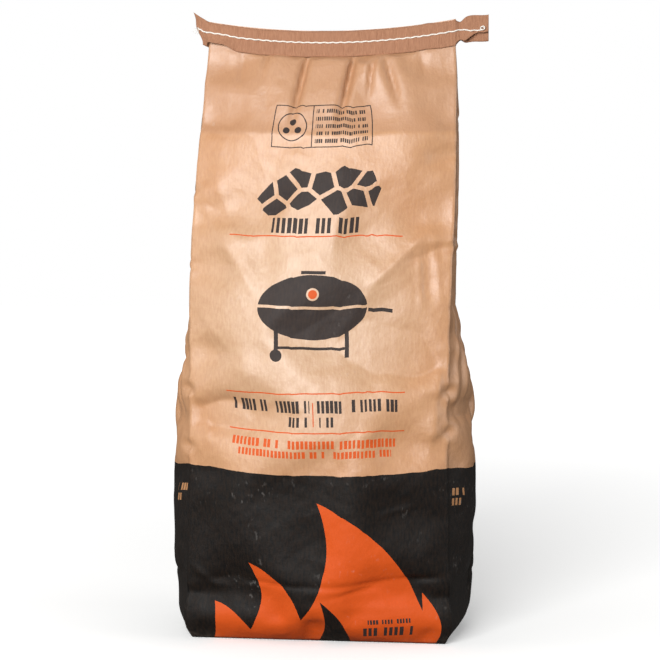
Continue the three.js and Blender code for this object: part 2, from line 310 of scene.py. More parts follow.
def hold(points):
    """How firmly each point keeps its place while the paper buckles: wholly at the bottom and the
    mouth, well at the folds and in the tucked gussets, and loosely in the middle of the panels."""
    z = points[:, :, 2]
    side = np.concatenate([leg_away, leg_away[::-1]])
    at_fold = np.concatenate([np.abs(panel_across) ** 12, side**6] * 2)[None, :]
    in_gusset = np.concatenate([np.zeros(PANEL_STEPS + 1), np.ones(len(side))] * 2)[None, :]
    firm = 0.14 + 0.16 * ease(0.30, 0.16, z)
    firm = np.maximum(firm, 0.84 * at_fold)
    firm = np.maximum(firm, in_gusset * (0.40 + 0.52 * ease(0.26, 0.40, z)))
    ends = np.maximum(1 - ease(0.004, 0.012, z), ease(SEAM_HEIGHT - 0.004, SEAM_HEIGHT, z))
    return np.maximum(firm, ends)


SPARE = 0.020  # how much longer than its place the paper is cut, as a share of it
MOST_SHIFT = 0.010  # of a loose point of the paper as it buckles
SIMULATION_STEPS = 24


def buckled(points):
    """The tube after its spare paper has buckled. The cloth starts in the filled shape, but its springs
    are longer than that by SPARE, a negative shrink, so it wrinkles to find room for them. No point
    moves by more than MOST_SHIFT, and the firmer it is held the less."""
    mesh = bpy.data.meshes.new("buckling")
    mesh.from_pydata(points.reshape(-1, 3).tolist(), [], grid_quads(*points.shape[:2], True).tolist())
    cloth_object = bpy.data.objects.new("buckling", mesh)
    bpy.context.scene.collection.objects.link(cloth_object)
    group = cloth_object.vertex_groups.new(name="hold")
    weights = np.round(hold(points), 2).reshape(-1)
    for level in np.unique(weights):
        group.add(np.flatnonzero(weights == level).tolist(), float(level), "REPLACE")
    cloth = cloth_object.modifiers.new("cloth", "CLOTH")
    paper = cloth.settings
    paper.quality = 8
    paper.mass = 0.15
    paper.tension_stiffness = paper.compression_stiffness = 60
    paper.shear_stiffness = 40
    paper.bending_stiffness = 60
    paper.tension_damping = paper.compression_damping = paper.shear_damping = 8
    paper.air_damping = 4
    paper.shrink_min = -SPARE
    paper.vertex_group_mass = "hold"
    paper.pin_stiffness = 0.6
    paper.effector_weights.gravity = 0
    cloth.collision_settings.use_collision = False
    cloth.point_cache.frame_start, cloth.point_cache.frame_end = 1, SIMULATION_STEPS
    for step in range(1, SIMULATION_STEPS + 1):
        bpy.context.scene.frame_set(step)
    shaped = cloth_object.evaluated_get(bpy.context.evaluated_depsgraph_get())
    moved = np.empty(points.size)
    shaped.data.vertices.foreach_get("co", moved)
    bpy.data.objects.remove(cloth_object)
    bpy.context.scene.frame_set(1)
    shift = moved.reshape(points.shape) - points
    length = np.linalg.norm(shift, axis=-1, keepdims=True)
    most = MOST_SHIFT * (1.1 - hold(points))[:, :, None]
    return points + shift * np.minimum(1, most / np.maximum(length, 1e-9))


tube = buckled(smooth_tube)


def halved(points, axis):
    """The grid with a new point halfway between each two, on the cubic through the four nearest."""
    p = np.moveaxis(points, axis, 0)
    longer = np.concatenate([2 * p[:1] - p[1:2], p, 2 * p[-1:] - p[-2:-1]])
    fine = np.empty((2 * len(p) - 1,) + p.shape[1:])
    fine[::2] = p
    fine[1::2] = (9 * (longer[1:-2] + longer[2:-1]) - longer[:-3] - longer[3:]) / 16
    return np.moveaxis(fine, 0, axis)


def refined(points):
    """The grid made four times finer each way, strip by strip, so that the folds between them stay."""
    leg, panel = LEG_STEPS + 1, PANEL_STEPS + 1
    strips = np.split(points, np.cumsum([panel, leg, leg, panel, leg]), axis=1)
    for axis in (0, 1, 0, 1):
        strips = [halved(strip, axis) for strip in strips]
    return np.concatenate(strips, axis=1)


smooth_tube, tube = refined(smooth_tube), refined(tube)
COLUMNS = tube.shape[1]
FINE_PANEL = 4 * PANEL_STEPS + 1
FINE_SIDE = 2 * (4 * LEG_STEPS + 1)
strip_starts = np.cumsum([0, FINE_PANEL, FINE_SIDE, FINE_PANEL, FINE_SIDE])


def paper_place(points):
    """Where each point lies on the flat paper. Up it is the length of the column below the point, and
    round it is the length of the row from the middle of the front. Each is stretched to the cut size,
    so print keeps its true width and length whatever the shape."""
    up = np.linalg.norm(np.diff(points, axis=0), axis=-1)
    up = np.concatenate([np.zeros((1, points.shape[1])), np.cumsum(up, axis=0)])
    up *= SHEET_HEIGHT / up[-1:]
    widths = [PANEL_WIDTH, GUSSET_WIDTH, PANEL_WIDTH, GUSSET_WIDTH]
    left = -PANEL_WIDTH / 2
    parts = []
    for first, last, width in zip(strip_starts[:-1], strip_starts[1:], widths):
        step = np.linalg.norm(np.diff(points[:, first:last], axis=1), axis=-1)
        run = np.concatenate([np.zeros((len(points), 1)), np.cumsum(step, axis=1)], axis=1)
        parts.append(left + run / run[:, -1:] * width)
        left += width
    return np.concatenate(parts, axis=1), up


def outward(points):
    """The direction out of the surface at each point of a grid whose last column joins the first."""
    round_it = np.roll(points, -1, axis=1) - np.roll(points, 1, axis=1)
    normal = np.cross(round_it, np.gradient(points, axis=0))
    return normal / np.maximum(np.linalg.norm(normal, axis=-1, keepdims=True), 1e-9)


RELIEF_SHARE = 1.3  # of the heights given for the creases
DEEPEST = 0.0042  # inside the smooth shape, so that the charcoal behind never shows


def creased(points):
    """The tube with every pleat, crease and dent pressed into it, along the way out of the surface. They
    fade out at the folds, at the bottom, under the tape and inside the tucked gussets, and the paper
    can't swell out past the tape's lower edge."""
    u, v = paper_place(points)
    z = points[:, :, 2]
    seam = SEAM_HEIGHT + MOUTH_RISE * ((points[:, :, 0] - MOUTH_LEAN) / MOUTH_HALF_WIDTH) ** 2
    loose = ease(0.003, 0.025, z) * (1 - ease(seam, seam + 0.010, z))
    room = 0.0005 + 0.80 * np.maximum(seam - 0.0015 - z, 0)
    height = np.zeros(u.shape)
    reliefs = (front_relief, side_relief, back_relief, side_relief)
    for number, relief in enumerate(reliefs):
        part = slice(strip_starts[number], strip_starts[number + 1])
        width = (PANEL_WIDTH, GUSSET_WIDTH)[number % 2]
        across = u[:, part] - (PANEL_WIDTH + GUSSET_WIDTH) / 2 * number
        fade = 1 - np.clip(np.abs(across) * 2 / width, 0, 1) ** (12 if number % 2 == 0 else 6)
        if number % 2:
            fade = fade * (1 - ease(0.37, 0.43, z[:, part]))
        height[:, part] = relief(across, v[:, part]) * fade
    return points + np.minimum(RELIEF_SHARE * height * loose, room)[:, :, None] * outward(points)


def filled(points, smooth):
    """The tube kept off the charcoal: no point lies further inside the smooth shape than DEEPEST, or
    than half of that up at the flat mouth."""
    normal = outward(smooth)
    depth = -np.sum((points - smooth) * normal, axis=-1, keepdims=True)
    deepest = DEEPEST * (1 - 0.5 * ease(0.60, 0.64, smooth[:, :, 2:]))
    return points + np.maximum(depth - deepest, 0) * normal


tube = filled(creased(tube), smooth_tube)


def sheet_mesh(name, points, round_it=0.0, uv=None):
    """A mesh over a grid of points[row, column], with a four-sided face in each cell. round_it is the
    way round in paper if the last column joins the first. uv is (round, up) for each point."""
    quads = grid_quads(*points.shape[:2], bool(round_it))
    mesh = bpy.data.meshes.new(name)
    mesh.from_pydata(points.reshape(-1, 3).tolist(), [], quads.tolist())
    if uv is not None:
        place = np.stack(uv, axis=-1)
        next_place = np.roll(place, -1, axis=1)
        next_place[:, -1, 0] += round_it
        corners = np.stack([place[:-1], next_place[:-1], next_place[1:], place[1:]], axis=2)
        if not round_it:
            corners = corners[:, :-1]
        layer = mesh.uv_layers.new(name="paper")
        layer.data.foreach_set("uv", corners.reshape(-1).astype(np.float32))
    mesh.shade_smooth()
    return mesh


def place_piece(name, mesh, material):
    """An object at the origin that wears one material and rides on the sack."""
    piece = bpy.data.objects.new(name, mesh)
    bpy.context.scene.collection.objects.link(piece)
    mesh.materials.append(material)
    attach(piece, "root")
    return piece


FOOT_LIFT = 0.0006
BOTTOM_LIFT = 0.0012  # the folded flaps lie under the bottom of the tube
shares = np.array([0.03, 0.3, 0.6, 0.82, 0.94, 0.985])[:, None]
floor_ring = tube[0]
bottom_height = np.full((len(shares), COLUMNS), BOTTOM_LIFT)
bottom_rows = np.stack([floor_ring[:, 0] * shares, floor_ring[:, 1] * shares, bottom_height], axis=-1)
tube[0, :, 2] = FOOT_LIFT
outer_points = np.concatenate([bottom_rows, tube])
round_paper, up_paper = paper_place(tube)
inward = np.linalg.norm(bottom_rows - tube[0], axis=-1)
outer_uv = (
    np.concatenate([np.repeat(round_paper[:1], len(shares), axis=0), round_paper]),
    np.concatenate([-inward, up_paper]),
)


def feed(node, inputs):
    """Give a shader node its inputs, each a value or the socket that feeds it. Gives its outputs."""
    for key, value in inputs.items():
        if isinstance(value, (int, float, tuple)):
            node.inputs[key].default_value = value
        else:
            node.id_data.links.new(value, node.inputs[key])
    return node.outputs


def maths(tree, operation, *values):
    """The result of one shader maths operation on values or sockets."""
    node = tree.nodes.new("ShaderNodeMath")
    node.operation = operation
    return feed(node, dict(enumerate(values)))[0]


class Plate:
    """A printing plate made of shader maths on the paper's own coordinates. Each method gives a socket
    that is 1 where ink lies and 0 elsewhere. u goes round from the middle of the front, v goes up."""

    def __init__(self, tree, u, v):
        self.tree, self.u, self.v = tree, u, v

    def maths(self, operation, *values):
        return maths(self.tree, operation, *values)

    def both(self, a, b):
        return self.maths("MULTIPLY", a, b)

    def either(self, a, b):
        return self.maths("MAXIMUM", a, b)

    def without(self, a, b):
        return self.both(a, self.maths("SUBTRACT", 1.0, b))

    def span(self, value, middle, width):
        off = self.maths("ABSOLUTE", self.maths("SUBTRACT", value, middle))
        return self.maths("LESS_THAN", off, width / 2)

    def box(self, middle_u, middle_v, width, height):
        return self.both(self.span(self.u, middle_u, width), self.span(self.v, middle_v, height))

    def frame(self, middle_u, middle_v, width, height, line):
        inner = self.box(middle_u, middle_v, width - 2 * line, height - 2 * line)
        return self.without(self.box(middle_u, middle_v, width, height), inner)

    def off_middle(self, middle_u, middle_v, across, up):
        """The square of the distance from the middle of an ellipse, 1 on its edge."""
        a = self.maths("DIVIDE", self.maths("SUBTRACT", self.u, middle_u), across / 2)
        b = self.maths("DIVIDE", self.maths("SUBTRACT", self.v, middle_v), up / 2)
        return self.maths("ADD", self.both(a, a), self.both(b, b))

    def ellipse(self, *shape):
        return self.maths("LESS_THAN", self.off_middle(*shape), 1.0)

    def soft_ellipse(self, *shape):
        """An ellipse that fades from 1 at its middle to 0 at its edge."""
        return self.maths("MAXIMUM", self.maths("SUBTRACT", 1.0, self.off_middle(*shape)), 0.0)

    def all(self, first, *others):
        for other in others:
            first = self.either(first, other)
        return first

    def bars(self, middle_u, middle_v, width, height, pitch):
        """A row of short upright bars with random spaces, which stands in for a line of small type."""
        count = self.maths("DIVIDE", self.u, pitch)
        whole = self.maths("ADD", self.maths("FLOOR", count), 1000.0 * middle_v)
        dice = self.tree.nodes.new("ShaderNodeTexWhiteNoise")
        dice.noise_dimensions = "1D"
        chance = feed(dice, {"W": whole})["Value"]
        ink = self.maths("MULTIPLY_ADD", chance, 0.34, 0.46)
        bar = self.maths("LESS_THAN", self.maths("FRACT", count), ink)
        kept = self.maths("GREATER_THAN", chance, 0.15)
        return self.both(self.box(middle_u, middle_v, width, height), self.both(bar, kept))

    def tongue(self, tip, right_foot, right_radius, left_foot, left_radius):
        """A flame tongue from the bottom edge up to its tip. Its right side is an arc that swells out,
        and its left side is an arc that hollows in."""
        right = self.arc(tip, right_foot, right_radius)
        left = self.arc(tip, left_foot, left_radius)
        below = self.maths("LESS_THAN", self.v, tip[1])
        return self.both(below, self.without(right, left))

    def arc(self, tip, foot, radius):
        """The disc to the left of the line from foot to tip, whose edge passes through both."""
        (u0, v0), (u1, v1) = foot, tip
        half = np.hypot(u1 - u0, v1 - v0) / 2
        away = np.sqrt(radius**2 - half**2)
        middle_u = (u0 + u1) / 2 - away * (v1 - v0) / (2 * half)
        middle_v = (v0 + v1) / 2 + away * (u1 - u0) / (2 * half)
        return self.ellipse(float(middle_u), float(middle_v), 2 * radius, 2 * radius)


KRAFT = (0.480, 0.234, 0.100, 1)
KRAFT_PALE = (0.510, 0.270, 0.128, 1)
# the paler kraft of the painted highlight in the middle of each panel
KRAFT_PAINTED_HIGHLIGHT = (0.515, 0.340, 0.205, 1)
KRAFT_DEEP = (0.360, 0.150, 0.062, 1)
# the darker kraft of the painted shade above the mouth fold
KRAFT_PAINTED_SHADE = (0.400, 0.205, 0.112, 1)
BLACK_INK = (0.0030, 0.0023, 0.0020, 1)
TYPE_INK = (0.030, 0.022, 0.020, 1)
ORANGE_INK = (0.560, 0.074, 0.007, 1)
SCUFFED = (0.62, 0.58, 0.54, 1)
WORN_THROUGH = (0.33, 0.27, 0.22, 1)
OVERLAP_EDGE = (0.10, 0.045, 0.020, 1)
BAND_TOP = 0.1955
BACK_MIDDLE = PANEL_WIDTH + GUSSET_WIDTH


def mixed(tree, share, under, over):
    """The colour over on top of the colour under, by share."""
    node = tree.nodes.new("ShaderNodeMix")
    node.data_type = "RGBA"
    return feed(node, {0: share, 6: under, 7: over})[2]


def noise(tree, where, scale, detail=3.0, stretch=(1, 1, 1)):
    """A noise field over where, with about scale blobs to the metre, squeezed by stretch."""
    squeezed = feed(tree.nodes.new("ShaderNodeMapping"), {"Scale": stretch, "Vector": where})["Vector"]
    field = tree.nodes.new("ShaderNodeTexNoise")
    return feed(field, {"Scale": scale, "Detail": detail, "Vector": squeezed})["Fac"]


def ramp(tree, value, low, high):
    """value stretched so that low becomes 0 and high becomes 1, and held there."""
    node = tree.nodes.new("ShaderNodeMapRange")
    return feed(node, {"From Min": low, "From Max": high, "Value": value})["Result"]


def bump(tree, height, distance, under=None):
    """A bump of that height field, over the bump below it."""
    node = tree.nodes.new("ShaderNodeBump")
    below = {} if under is None else {"Normal": under}
    return feed(node, {"Distance": distance, "Height": height, **below})["Normal"]


def new_material(name, roughness, specular=0.5):
    """A material, its tree, its shader and its object coordinates."""
    material = bpy.data.materials.new(name)
    material.use_nodes = True
    tree = material.node_tree
    shader = tree.nodes["Principled BSDF"]
    feed(shader, {"Roughness": roughness, "Specular IOR Level": specular})
    where = tree.nodes.new("ShaderNodeTexCoord").outputs["Object"]
    return material, tree, shader, where


def print_panel(plate, middle):
    """The plates of one large panel, with its middle at that place round the paper: dark print, orange
    rules and type, the flame, and the type on the flame. Print runs a little askew up the paper."""
    drift = plate.maths("MULTIPLY", plate.maths("SUBTRACT", plate.v, 0.2), 0.012)
    u = plate.maths("ADD", plate.maths("SUBTRACT", plate.u, middle), drift)
    art = Plate(plate.tree, u, plate.v)
    panel = plate.span(plate.u, middle, PANEL_WIDTH)

    heap = art.tree.nodes.new("ShaderNodeTexVoronoi")
    heap_edge = art.tree.nodes.new("ShaderNodeTexVoronoi")
    heap_edge.feature = "DISTANCE_TO_EDGE"
    narrowed = art.maths("MULTIPLY", u, 0.86)
    spot = feed(art.tree.nodes.new("ShaderNodeCombineXYZ"), {0: narrowed, 1: plate.v})[0]
    for cells in (heap, heap_edge):
        cells.voronoi_dimensions = "2D"
        feed(cells, {"Scale": 46.0, "Randomness": 0.9, "Vector": spot})
    parts = feed(art.tree.nodes.new("ShaderNodeSeparateXYZ"), {0: heap.outputs["Position"]})
    heap_place = Plate(art.tree, parts[0], parts[1])
    piled = heap_place.ellipse(0.002, 0.474, 0.138, 0.096)
    piled = art.both(piled, art.maths("GREATER_THAN", heap_place.v, 0.4775))
    lumps = art.both(piled, art.maths("GREATER_THAN", heap_edge.outputs["Distance"], 0.10))
    lumps = art.both(lumps, art.maths("GREATER_THAN", plate.v, 0.4735))

    lid = art.both(art.ellipse(0, 0.373, 0.118, 0.074), art.maths("GREATER_THAN", plate.v, 0.3765))
    bowl = art.both(art.ellipse(0, 0.373, 0.118, 0.064), art.maths("LESS_THAN", plate.v, 0.3735))
    grill = art.all(
        lid,
        bowl,
        art.box(0, 0.4125, 0.026, 0.0035),
        art.box(0.0735, 0.3705, 0.026, 0.004),
        art.box(-0.038, 0.341, 0.0045, 0.038),
        art.box(0.038, 0.341, 0.0045, 0.038),
        art.box(0, 0.332, 0.076, 0.003),
        art.ellipse(-0.038, 0.3235, 0.013, 0.013),
    )
    grill = art.without(grill, art.ellipse(0, 0.3895, 0.0135, 0.0135))

    dark = art.all(
        lumps,
        art.bars(0, 0.4625, 0.098, 0.0165, 0.0062),
        grill,
        art.bars(-0.0485, 0.2690, 0.090, 0.0130, 0.0046),
        art.bars(0.0485, 0.2690, 0.090, 0.0130, 0.0046),
        art.bars(-0.017, 0.2530, 0.021, 0.0105, 0.0046),
        art.bars(0.014, 0.2530, 0.015, 0.0105, 0.0046),
        art.frame(0.001, 0.571, 0.112, 0.048, 0.0011),
        art.box(-0.010, 0.571, 0.0011, 0.048),
        art.without(art.ellipse(-0.0325, 0.571, 0.033, 0.033), art.ellipse(-0.0325, 0.571, 0.0305, 0.0305)),
        *[art.ellipse(-0.0325 + side, 0.5665 + rise, 0.0075, 0.0075)
          for side, rise in ((-0.0065, 0.0), (0.0, 0.010), (0.0065, 0.0))],
        *[art.bars(0.0225, 0.5880 - 0.0085 * line, 0.058, 0.0044, 0.0024) for line in range(5)],
    )
    orange = art.all(
        art.box(0, 0.4510, 0.190, 0.0013),
        art.box(0, 0.2830, 0.196, 0.0013),
        art.box(0, 0.2415, 0.196, 0.0013),
        art.box(0, 0.2610, 0.0011, 0.025),
        art.bars(0, 0.2290, 0.184, 0.0088, 0.0046),
        art.bars(0, 0.2180, 0.170, 0.0074, 0.0042),
        art.ellipse(0, 0.3895, 0.0095, 0.0095),
    )
    flame = art.all(
        art.tongue((0.002, 0.166), (0.122, -0.02), 0.190, (-0.070, 0.000), 0.125),
        art.tongue((-0.074, 0.098), (-0.020, -0.01), 0.084, (-0.118, -0.01), 0.072),
        art.tongue((0.116, 0.062), (0.126, -0.02), 0.070, (0.050, -0.03), 0.092),
        art.tongue((-0.116, 0.048), (-0.070, -0.02), 0.056, (-0.134, -0.01), 0.052),
    )
    core = art.tongue((0.004, 0.060), (0.030, -0.03), 0.075, (-0.036, -0.03), 0.070)
    flame = art.both(art.without(flame, core), art.maths("GREATER_THAN", plate.v, -0.012))
    weight = art.either(
        art.bars(0.078, 0.0335, 0.046, 0.0050, 0.0032), art.bars(0.078, 0.0210, 0.056, 0.0120, 0.0056)
    )
    return [plate.both(panel, part) for part in (dark, orange, flame, weight)]


def printed_paper():
    """Machine-finished kraft with flexographic print: a black band round the foot, an orange flame on
    it, and dark and orange type above. The paper has a satin finish, ink is duller, and the print wears
    through on the folds and the bottom edge. The paper above the mouth fold is painted darker, a painted
    shade for where it leans back from the light, and the swollen middle of each panel is painted paler,
    a painted highlight for where the key light's sheen falls."""
    material, tree, shader, where = new_material("printed_kraft_paper", 0.6, 0.9)
    paper = tree.nodes.new("ShaderNodeUVMap")
    paper.uv_map = "paper"
    flat = paper.outputs[0]
    split = feed(tree.nodes.new("ShaderNodeSeparateXYZ"), {0: flat})
    plate = Plate(tree, split[0], split[1])

    cloud = ramp(tree, noise(tree, where, 9, 4), 0.35, 0.65)
    fibre = ramp(tree, noise(tree, flat, 420, 5, (1, 0.28, 1)), 0.36, 0.68)
    speck = ramp(tree, noise(tree, flat, 900, 2), 0.66, 0.74)
    # A painted highlight: paler paper in the middle of the front and the back, where the key light's sheen
    # falls.
    painted_highlight = [plate.soft_ellipse(middle - 0.020, 0.370, 0.300, 0.350) for middle in (0.0, BACK_MIDDLE)]
    # Painted shade: darker paper above the mouth fold, where the sack leans back from the light.
    painted_shade_above_fold = ramp(tree, plate.v, MOUTH_FOLD - 0.002, MOUTH_FOLD + 0.002)

    front = print_panel(plate, 0.0)
    back = print_panel(plate, BACK_MIDDLE)
    dark, orange, flame, weight = [plate.either(a, b) for a, b in zip(front, back)]
    sides = plate.all(
        *[plate.bars(side, 0.170 - 0.011 * line, 0.026 - 0.004 * line, 0.0078, 0.0062)
          for side in (0.166, 0.279, 0.611, 0.724) for line in range(2)]
    )
    band = plate.maths("LESS_THAN", plate.v, BAND_TOP)
    thin = plate.maths("MULTIPLY_ADD", fibre, -0.02, 1.0)

    scuff_fine = ramp(tree, noise(tree, where, 260, 6, (1, 1, 0.5)), 0.60, 0.72)
    scuff_place = ramp(tree, noise(tree, where, 22, 3), 0.56, 0.70)
    wear = tree.nodes.new("ShaderNodeAttribute")
    wear.attribute_name = "wear"
    worn = plate.both(wear.outputs["Fac"], ramp(tree, noise(tree, where, 240, 5), 0.30, 0.75))
    overlap = plate.span(plate.u, BACK_MIDDLE + SEAM_FROM_BACK_MIDDLE, 0.0009)

    colour = mixed(tree, cloud, KRAFT, KRAFT_PALE)
    for place, share, tint in (
        (plate.all(*painted_highlight), 0.85, KRAFT_PAINTED_HIGHLIGHT),
        (fibre, 0.34, KRAFT_DEEP),
        (speck, 0.45, KRAFT_DEEP),
        (painted_shade_above_fold, 0.42, KRAFT_PAINTED_SHADE),
        (band, thin, BLACK_INK),
        (plate.both(flame, band), thin, ORANGE_INK),
        (plate.either(dark, plate.both(weight, band)), thin, TYPE_INK),
        (orange, 0.95, ORANGE_INK),
        (sides, 0.8, KRAFT),
        (plate.both(scuff_fine, scuff_place), 0.16, SCUFFED),
        (plate.maths("MINIMUM", 1.0, plate.both(worn, 1.1)), 0.55, WORN_THROUGH),
        (overlap, 0.55, OVERLAP_EDGE),
    ):
        colour = mixed(tree, plate.both(place, share), colour, tint)

    inked = plate.all(band, dark, orange)
    dull = plate.maths("MULTIPLY_ADD", noise(tree, where, 60, 4), 0.12, 0.48)
    rough = plate.maths("ADD", dull, plate.both(inked, 0.08))
    shine = mixed(tree, inked, (1, 1, 1, 1), (0.18, 0.18, 0.18, 1))

    facets = feed(tree.nodes.new("ShaderNodeTexVoronoi"), {"Scale": 30.0, "Vector": where})
    normal = bump(tree, facets["Distance"], 0.0014)
    normal = bump(tree, noise(tree, where, 46, 5), 0.0011, normal)
    normal = bump(tree, noise(tree, where, 150, 4), 0.00035, normal)
    normal = bump(tree, fibre, 0.00006, normal)
    feed(shader, {"Base Color": colour, "Roughness": rough, "IOR": 1.58})
    feed(shader, {"Specular Tint": shine, "Normal": normal})
    return material


sack = place_piece(
    "paper_sack", sheet_mesh("paper_sack", outer_points, TUBE, outer_uv), printed_paper()
)
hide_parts("outer_paper_ply")

column = np.arange(COLUMNS)
fold_columns = np.concatenate([strip_starts[:-1], strip_starts[1:] - 1])
near_fold = np.exp(-np.abs(column[:, None] - fold_columns[None, :]).min(axis=1) / 1.5)[None, :]
near_foot = np.exp(-np.abs(outer_points[:, :, 2]) / 0.004)
wear = near_foot * np.clip(0.35 + near_fold, 0, 1)
worn_edge = sack.data.attributes.new("wear", "FLOAT", "POINT")
worn_edge.data.foreach_set("value", wear.reshape(-1).astype(np.float32))

# ---------------------------------------------------------------- pasted bottom
#
# The foot of the tube is folded in under it and pasted: the two side flaps first, then the back flap,
# and the front flap over them all. They are the same printed paper.

FOOT_HALF_WIDTH = 0.1385
FOOT_HALF_DEPTH = 0.0655
SIDE_MIDDLE = (PANEL_WIDTH + GUSSET_WIDTH) / 2


def flap_points(edge, reach, half, splay, height):
    """A flap seen from below, as points[row, column]. It hangs on an edge at that distance from the
    middle, half as long as half, and runs in by reach, each end drawn in by splay at its far side."""
    along = np.linspace(1, -1, 13)[None, :]
    run = np.linspace(0, 1, 7)[:, None]
    lap = along * (half - splay * run)
    inwards = np.broadcast_to(edge - reach * run, lap.shape)
    return lap, inwards, np.full(lap.shape, height), np.broadcast_to(-reach * run, lap.shape)


printed = sack.data.materials[0]
for name, turns, middle, shape in (
    ("right_bottom_flap", 1, SIDE_MIDDLE, (FOOT_HALF_WIDTH, 0.058, FOOT_HALF_DEPTH, 0.050, 0.00105)),
    ("left_bottom_flap", 3, 3 * SIDE_MIDDLE, (FOOT_HALF_WIDTH, 0.058, FOOT_HALF_DEPTH, 0.050, 0.00105)),
    ("back_bottom_flap", 2, BACK_MIDDLE, (FOOT_HALF_DEPTH, 0.078, FOOT_HALF_WIDTH, 0.034, 0.00075)),
    ("front_bottom_flap", 0, 0.0, (FOOT_HALF_DEPTH, 0.086, FOOT_HALF_WIDTH, 0.036, 0.00045)),
):
    lap, inwards, height, v = flap_points(*shape)
    turn = turns * np.pi / 2
    x = lap * np.cos(turn) + inwards * np.sin(turn)
    y = lap * np.sin(turn) - inwards * np.cos(turn)
    flap_mesh = sheet_mesh(name, np.stack([x, y, height], axis=-1), uv=(middle + lap, v))
    flap = place_piece(name, flap_mesh, printed)
    thick = flap.modifiers.new("thick", "SOLIDIFY")
    thick.thickness, thick.offset = 0.0002, 0.0

# ---------------------------------------------------------------- inner ply
#
# A second, unprinted ply of kraft lies loose inside the first, takes the rub of the charcoal, and is
# pasted to the outer one only at the bottom and sewn to it at the mouth.

PLY_STEP = 0.0009  # at the flat mouth, and wider where the sack is full
LINER_LIFT = 0.0022


def bare_kraft():
    """Plain brown kraft with a coarse fibre, dusted black by the charcoal."""
    material, tree, shader, where = new_material("bare_kraft_paper", 0.8, 0.3)
    fibre = noise(tree, where, 420, 5, (1, 1, 0.3))
    dust = ramp(tree, noise(tree, where, 35, 5), 0.45, 0.75)
    colour = mixed(tree, ramp(tree, fibre, 0.35, 0.7), KRAFT, KRAFT_DEEP)
    colour = mixed(tree, dust, colour, (0.10, 0.07, 0.05, 1))
    feed(shader, {"Base Color": colour, "Normal": bump(tree, fibre, 0.0002)})
    return material


ply_gap = PLY_STEP * (1 + 1.3 * ease(0.55, 0.40, tube[:, :, 2:]))
liner_points = (tube - ply_gap * outward(tube))[::2]
liner_floor = bottom_rows.copy()
liner_floor[:, :, 2] = liner_points[0, :, 2] = LINER_LIFT
liner_points = np.concatenate([liner_floor, liner_points])
liner = place_piece(
    "inner_ply", sheet_mesh("inner_ply", liner_points, TUBE), bare_kraft()
)
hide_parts("inner_paper_ply")

# ---------------------------------------------------------------- charcoal
#
# Lumps of oak charcoal fill the lower four fifths of the sack. Each is a broken chunk of charred wood,
# matte black with a grey bloom of ash.


def charred_wood():
    """Black with ash dust, and ridged along the grain."""
    material, tree, shader, where = new_material("charred_oak", 0.7)
    ash = ramp(tree, noise(tree, where, 70, 6), 0.52, 0.72)
    colour = mixed(tree, ash, (0.012, 0.011, 0.011, 1), (0.060, 0.056, 0.052, 1))
    grain = noise(tree, where, 120, 6, (1, 1, 0.12))
    feed(shader, {"Base Color": colour, "Normal": bump(tree, grain, 0.0015)})
    return material


charred = charred_wood()
for name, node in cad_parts.items():
    if name.startswith("charcoal_lump"):
        node.data.materials.clear()
        node.data.materials.append(charred)

# ---------------------------------------------------------------- binding tape
#
# A strip of creped kraft tape is folded in half over the mouth and sewn through. It is cut a little
# longer than the mouth is wide. The left tail has twisted up, and the right tail is pinched and flares.

TAPE_HEIGHT = 0.0288
TAPE_FOOT = SEAM_HEIGHT - 0.0012
TAPE_HALF = MOUTH_HALF_DEPTH + 0.0009


def crepe_paper():
    """Brown creped tape: fine irregular ridges across its length, with painted shade in the troughs."""
    material, tree, shader, where = new_material("creped_kraft_tape", 0.78, 0.3)
    ridge = noise(tree, where, 900, 3, (1, 1, 0.14))
    # Painted shade: the colour follows the bump's ridges, darker in the troughs.
    painted_trough_shade = ramp(tree, ridge, 0.30, 0.70)
    colour = mixed(tree, painted_trough_shade, (0.280, 0.127, 0.068, 1), (0.382, 0.189, 0.107, 1))
    cloud = ramp(tree, noise(tree, where, 60, 5), 0.35, 0.70)
    colour = mixed(tree, maths(tree, "MULTIPLY", cloud, 0.5), colour, (0.335, 0.161, 0.092, 1))
    feed(shader, {"Base Color": colour, "Normal": bump(tree, ridge, 0.0006)})
    return material


LEFT_TAIL = 0.026
RIGHT_TAIL = 0.036


def tape_place(x, up, side):
    """A point on the middle of the tape. x runs along it, up goes from 0 at its lower edge to 1 at the
    fold over the mouth, and side is -1 on the front leaf and 1 on the back one."""
    left = np.clip((-x - MOUTH_HALF_WIDTH) / LEFT_TAIL, 0, 1)
    right = np.clip((x - MOUTH_HALF_WIDTH) / RIGHT_TAIL, 0, 1)
    front = side < 0
    up = up + (1 - up) * 0.34 * ease(0.12, 0.75, right) * front  # the front leaf is drawn up at the right
    half = TAPE_HALF + (0.0009 - TAPE_HALF) * ease(0, 0.7, np.maximum(left, right))
    half = half + 0.0045 * left**2 * (1 - up) + 0.0034 * ease(0.2, 0.8, right) * (1 - up) * front
    arch = ease(-0.104, -0.122, x) * (1 - ease(-0.138, -0.146, x)) * front  # a lip at the left
    half = half + 0.0036 * arch * (1 - up) ** 1.5 + 0.0018 * (1 - up) ** 3
    half = half * np.sqrt(np.clip(1 - (np.clip(up - 0.93, 0, 1) / 0.07) ** 2, 0, 1))
    pinch = np.exp(-(((right - 0.13) / 0.12) ** 2)) * (right > 0)
    squeeze = 1 - 0.30 * pinch
    lift = up * TAPE_HEIGHT * squeeze + TAPE_HEIGHT * (1 - squeeze) * 0.62
    z = TAPE_FOOT + lift + 0.0012 * ease(0.1, 0.4, right) - 0.0032 * ease(0.4, 1.0, right)
    x_now = x + left * (0.0185 - 0.0125 * up) + 0.0012 * left * np.sin(9 * up)
    z = z + left**1.25 * (0.0030 + 0.0060 * up**1.5) + 0.0058 * arch * (1 - up) ** 2
    y = side * half + 0.009 * left**2 + 0.002 * right + 0.0025 * pinch
    return settle(x_now, y, z)


